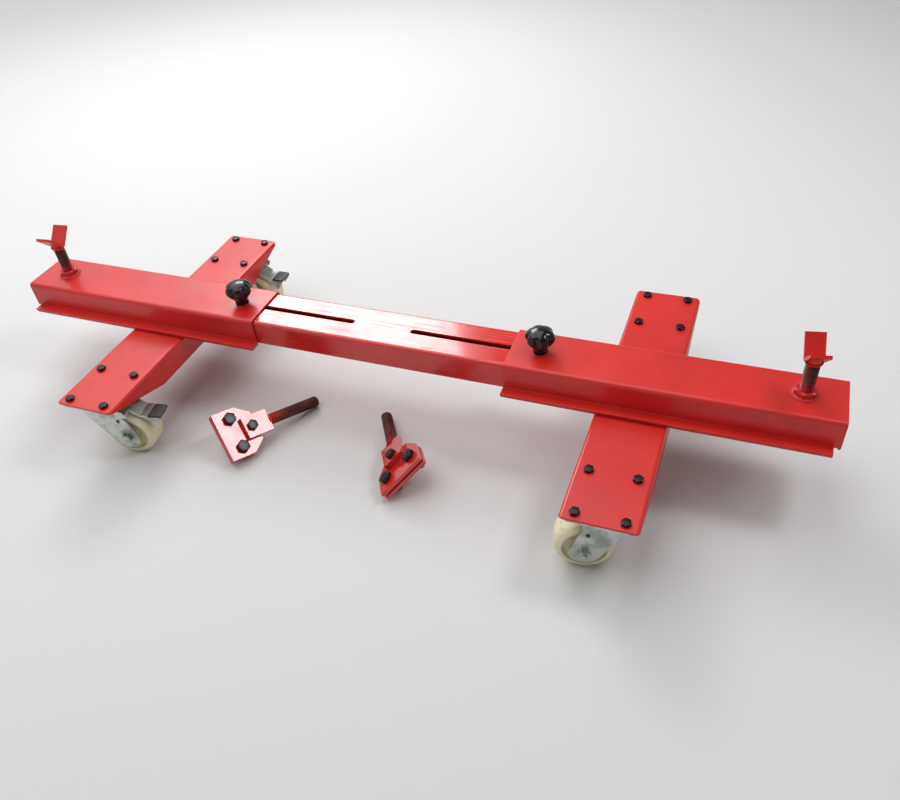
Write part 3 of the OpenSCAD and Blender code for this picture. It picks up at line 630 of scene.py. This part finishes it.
# The fasteners: black-oxide hexagon bolts through the cross members and the caster plates, with
# zinc-plated nuts under them. A bolt has a chamfered head, a washer face and a rolled thread.
def bolt_mesh(flats, head, thread, reach, material):
    """A hexagon bolt hung from its head's lower face at Z = 0."""
    half, corner = flats / 2, flats / 2 / math.cos(math.pi / 6)
    face, crown, crown_middle, crown_dip = 0.93 * half, 0.89 * half, 0.05 * half, 0.00006
    drop, washer, neck = 0.5 * (corner - face), 0.06 * head, thread * 0.95
    profile = [(neck, 0), (face, 0), (face, washer), (corner, washer + 0.4 * drop),
               (corner, head - drop), (face, head - crown_dip), (crown, head), (crown_middle, head)]
    top = skin("bolt_head", hex_rings(flats, profile), material, angle=25)
    shank = thread_mesh(thread, standard_pitch(thread), reach, material, around=24, rings=4)
    return joined("bolt", [(top, Matrix()), (shank, Matrix.Translation((0, 0, -reach / 2)))])


def standard_pitch(radius):
    """The coarse thread's pitch for a shaft of that radius."""
    return {4: 0.00125, 5: 0.0015, 6: 0.00175}[round(radius * 1000)]


def islands(node):
    """The separate solids of a CAD node, each as its list of points, from -X to +X."""
    shape = one_skin(node)
    seen, groups = set(), []
    for first in shape.verts:
        if first in seen:
            continue
        seen.add(first)
        group, front = [], [first]
        while front:
            vert = front.pop()
            group.append(vert.co.copy())
            for edge in vert.link_edges:
                far = edge.other_vert(vert)
                if far not in seen:
                    seen.add(far)
                    front.append(far)
        groups.append(group)
    shape.free()
    return sorted(groups, key=lambda points: tuple(round(c, 4) for c in middle_of(points)))


def middle_of(points):
    return sum(points, Vector()) / len(points)


def measured(points, axis):
    """A bolt or nut's measures from its CAD points, along the axis that leaves its head."""
    along = [p.dot(axis) for p in points]
    top, tip = max(along), min(along)
    level, nearly = 1e-5, 0.98
    crown = [p for p, a in zip(points, along) if top - a < level]
    corners = sorted(crown, key=lambda p: -(p - middle_of(crown)).length)[:6]
    middle = middle_of(corners)
    corner = corners[0] - middle
    wide = [a for p, a in zip(points, along)
            if (p - middle - axis * (a - top)).length > corner.length * nearly]
    side = axis.cross(corner).normalized()
    turn = Matrix((corner.normalized(), side, axis)).transposed().to_4x4()
    return {"flats": corner.length * 2 * math.cos(math.pi / 6), "head": top - min(wide),
            "reach": min(wide) - tip, "seat": middle - axis * (top - min(wide)), "turn": turn}


def scatter_tree():
    """Node tree that puts a shape at each point, turned as the point's turn attribute says."""
    tree = bpy.data.node_groups.new("scatter", "GeometryNodeTree")
    for name, kind in (("Points", "Geometry"), ("Shape", "Object"), ("Finish", "Material")):
        tree.interface.new_socket(name, in_out="INPUT", socket_type="NodeSocket" + kind)
    tree.interface.new_socket("Mesh", in_out="OUTPUT", socket_type="NodeSocketGeometry")
    inlet = tree.nodes.new("NodeGroupInput")
    given = {s.name: Wire(tree, s) for s in inlet.outputs if s.name}
    wire = Wire(tree)
    shape = wire.node("GeometryNodeObjectInfo", None, {"Object": given["Shape"]}, "Geometry")
    turn = wire.node("GeometryNodeInputNamedAttribute", {"data_type": "FLOAT_VECTOR"},
                     {"Name": "turn"})
    copies = wire.node("GeometryNodeInstanceOnPoints", None,
                       {"Points": given["Points"], "Instance": shape, "Rotation": turn})
    real = wire.node("GeometryNodeRealizeInstances", None, {"Geometry": copies})
    coated = wire.node("GeometryNodeSetMaterial", None, {"Geometry": real,
                                                         "Material": given["Finish"]})
    outlet = tree.nodes.new("NodeGroupOutput")
    tree.links.new(coated.socket, outlet.inputs["Mesh"])
    return tree


scatter = scatter_tree()


def scattered(shape, places, material):
    """Copies of one mesh at (point, turn) places, as one mesh."""
    seats = bpy.data.meshes.new("seats")
    seats.from_pydata([p for p, _ in places], [], [])
    turns = seats.attributes.new("turn", "FLOAT_VECTOR", "POINT")
    for i, (_, turn) in enumerate(places):
        turns.data[i].vector = turn.to_euler("XYZ")
    pattern = bpy.data.objects.new("pattern", shape)
    bpy.context.scene.collection.objects.link(pattern)
    mesh = grown(scatter, {"Shape": pattern, "Finish": material}, seats)
    bpy.data.objects.remove(pattern)
    return mesh


bolt_radius, bolt_spin = 0.004, 0.9
for side in ("left", "right"):
    node = f"{side}_caster_bolts"
    fits = [measured(points, up) for points in islands(node)]
    bolt = bolt_mesh(fits[0]["flats"], fits[0]["head"], bolt_radius, fits[0]["reach"], black)
    spin = [Matrix.Rotation(bolt_spin * i * i, 4, "Z") for i in range(len(fits))]
    places = [(f["seat"], f["turn"] @ spin[i]) for i, f in enumerate(fits)]
    piece(node + "_cut", scattered(bolt, places, black), body_of(node), node)

    node = f"{side}_caster_nuts"
    fits = [measured(points, up) for points in islands(node)]
    nut = nut_mesh(fits[0]["flats"], fits[0]["head"], bolt_radius + clearance, zinc)
    places = [(f["seat"], f["turn"] @ spin[-1 - i]) for i, f in enumerate(fits)]
    piece(node + "_plated", scattered(nut, places, zinc), body_of(node), node)


# The casters: a drilled plate with the upper bearing housing, a bent fork with the lower one, a
# riveted kingpin, all zinc plated, and a moulded cream nylon wheel on a plated axle bolt.
wheel_cream = (0.74, 0.66, 0.40, 1.0)
wheel_pale = (0.80, 0.75, 0.55, 1.0)
wheel_dirt = (0.25, 0.20, 0.12, 1.0)
wheel_width, shoulder, recess = 0.046, 0.012, 0.007
rim, boss = 0.034, 0.016


def wheel_nylon(name, axle, axis, radius):
    """Cream nylon, a little yellowed, scuffed and dirty on the tread and dirty round the hub."""
    material, place = new_finish(name)
    offset = place.vector("SUBTRACT", place, axle)
    along = offset.vector("DOT_PRODUCT", offset, axis, out="Value")
    span = offset.vector("LENGTH", offset, out="Value")
    reach = place.math("SQRT", span * span - along * along)
    tread = reach.step(radius * 0.90, radius)
    cloud = speckle(place, 35, 3).step(0.3, 0.75)
    scuff = speckle(place, 110, 5).step(0.50, 0.70)
    dirt = tread * scuff * 0.4 + reach.step(boss, boss * 0.75) * 0.2
    colour = dirt.mix(cloud.mix(wheel_cream, wheel_pale), wheel_dirt)
    set_finish(material, {"Specular IOR Level": 0.5, "Subsurface Weight": 0.08},
               {"Base Color": colour, "Roughness": 0.36 + tread * scuff * 0.25},
               speckle(place, 700, 2) + scuff * tread, 0.12, 0.0002)
    return material


def wheel_mesh(radius, hub, bore, material):
    """A wheel about its middle, its axle along Z, with recessed sides and rounded shoulders."""
    around, shoulder_steps = 120, 9
    half, hub_half = wheel_width / 2, hub / 2
    web = half - recess
    corner = [(radius - shoulder + shoulder * math.sin(t), half - shoulder + shoulder * math.cos(t))
              for t in quarter_turn(shoulder_steps)]
    face = [(bore, hub_half - 0.0006), (bore + 0.0006, hub_half), (boss - 0.001, hub_half),
            (boss, hub_half - 0.001), (boss + 0.0006, web + 0.0025), (boss + 0.003, web),
            (rim - 0.003, web), (rim - 0.0008, web + 0.0022), (rim, half - 0.0008),
            (rim + 0.0008, half)]
    side = face + corner
    profile = side + [(r, -z) for r, z in reversed(side)]
    rings = [[on_circle(r, a, z) for r, z in profile] for a in whole_turn(around)]
    return skin("wheel", rings, material, angle=40, wrap=True)


joints = {j["name"]: j for j in frame["joints"]}
casters = ("near_left", "far_left", "near_right", "far_right")
axle_radius, pressed_round, axle_round = 0.005, 0.0005, 0.0004
for caster in casters:
    for part in ("mount_plate", "fork", "kingpin"):
        worked_piece(f"{caster}_{part}", "_plated", zinc, pressed_round)

    spin = joints[caster + "_wheel_spin"]
    axle, axis = Vector(spin["pos_m"]), Vector(spin["axis"]).normalized()
    turn = axis.to_track_quat("Z", "Y").to_matrix().to_4x4()
    node = caster + "_wheel"
    points = [v.co for v in nodes[node].data.vertices]
    reach = [(p - axle).dot(axis) for p in points]
    radius = max(((p - axle) - axis * r).length for p, r in zip(points, reach))
    nylon = wheel_nylon(node + "_nylon", axle, axis, radius)
    wheel = wheel_mesh(radius, max(reach) - min(reach), axle_radius + clearance, nylon)
    wheel.transform(Matrix.Translation(axle) @ turn)
    piece(node + "_moulded", wheel, body_of(node), node)

    worked_piece(caster + "_axle_bolt", "_plated", zinc, axle_round)


# The foot brakes of the two left casters: a pressed, zinc-plated channel on a riveted pin, with
# a black moulded pad.
def pad_plastic():
    material, place = new_finish("pad_plastic")
    worn = speckle(place, 120, 4).step(0.45, 0.7)
    set_finish(material, {"Specular IOR Level": 0.4},
               {"Base Color": worn.mix((0.016, 0.016, 0.016, 1), (0.05, 0.048, 0.045, 1)),
                "Roughness": 0.42 + worn * 0.25}, speckle(place, 800, 2), 0.2, 0.0002)
    return material


pad_black = pad_plastic()
lever_round, pad_round = 0.0004, 0.0008
for caster in ("near_left", "far_left"):
    for part in ("brake_lever", "brake_pin"):
        worked_piece(f"{caster}_{part}", "_plated", zinc, lever_round)
    worked_piece(caster + "_brake_pad", "_moulded", pad_black, pad_round)


# The sill clamps: two red plates that grip a car's sill flange between them, drawn together by
# two large black bolts, and a painted bracket bolted on the front with a threaded stud, which is
# welded to its end after the paint and rusts.
mounts = {m["name"]: m for m in frame["record"]["mounts"]}
stud_sunk, paint_end, bracket_round = 0.001, 0.00002, 0.0009
large_radius, small_radius, large_flats = 0.006, 0.005, 0.0185
bead_width, bead_height, bead_ripples, bead_half_turn = 0.0030, 0.0036, 23, 1.45
glossy_red = red_coat("glossy_red_coat", 0.20, 0.90, 0.08, (4, 4, 4))
for clamp in ("clamp_a", "clamp_b"):
    for part in ("front_jaw", "back_jaw"):
        worked_piece(f"{clamp}_{part}", "_coated", glossy_red)

    outward = Vector(joints[f"sill_{clamp}_open"]["axis"]).normalized()
    node = f"{clamp}_bolts"
    bolts = []
    for points in islands(node):
        fit = measured(points, outward)
        shaft = large_radius if fit["flats"] > large_flats else small_radius
        shape = bolt_mesh(fit["flats"], fit["head"], shaft, fit["reach"], black)
        bolts.append((shape, Matrix.Translation(fit["seat"]) @ fit["turn"]))
    piece(node + "_cut", joined(node + "_cut", bolts), body_of(node), node)

    node = f"{clamp}_stud"
    mount = mounts[f"{clamp}_stud_end"]
    middle, along = Vector(mount["pos_m"]), Vector(mount["axis"]).normalized()
    tip = max((v.co - middle).dot(along) for v in nodes[node].data.vertices)
    root = -mount["dims"]["length_mm"] / 1000 / 2
    radius = mount["dims"]["r_mm"] / 1000
    across = outward.cross(along)
    bead_turn = Matrix((outward, across * -1, along)).transposed().to_4x4()
    seat = middle + along * root
    plate = worked(node, glossy_red, bracket_round, cut=(seat - along * paint_end, along))
    bead = weld_bead(radius, bead_width, bead_height, glossy_red, bead_ripples, bead_half_turn)
    bead_place = Matrix.Translation(seat) @ bead_turn
    bracket = joined(node + "_bracket", [(plate, Matrix()), (bead, bead_place)])
    even_normals(piece(node + "_bracket", bracket, body_of(node), node))
    steel = dark_stud(node + "_steel", fades_along(seat, along, 0.004, 0.040))
    bar = thread_mesh(radius, post_pitch, tip - root + stud_sunk, steel)
    bar.transform(Matrix.Translation(seat + along * (tip - root - stud_sunk) / 2)
                  @ along.to_track_quat("Z", "Y").to_matrix().to_4x4())
    piece(node + "_cut", bar, body_of(node), node)
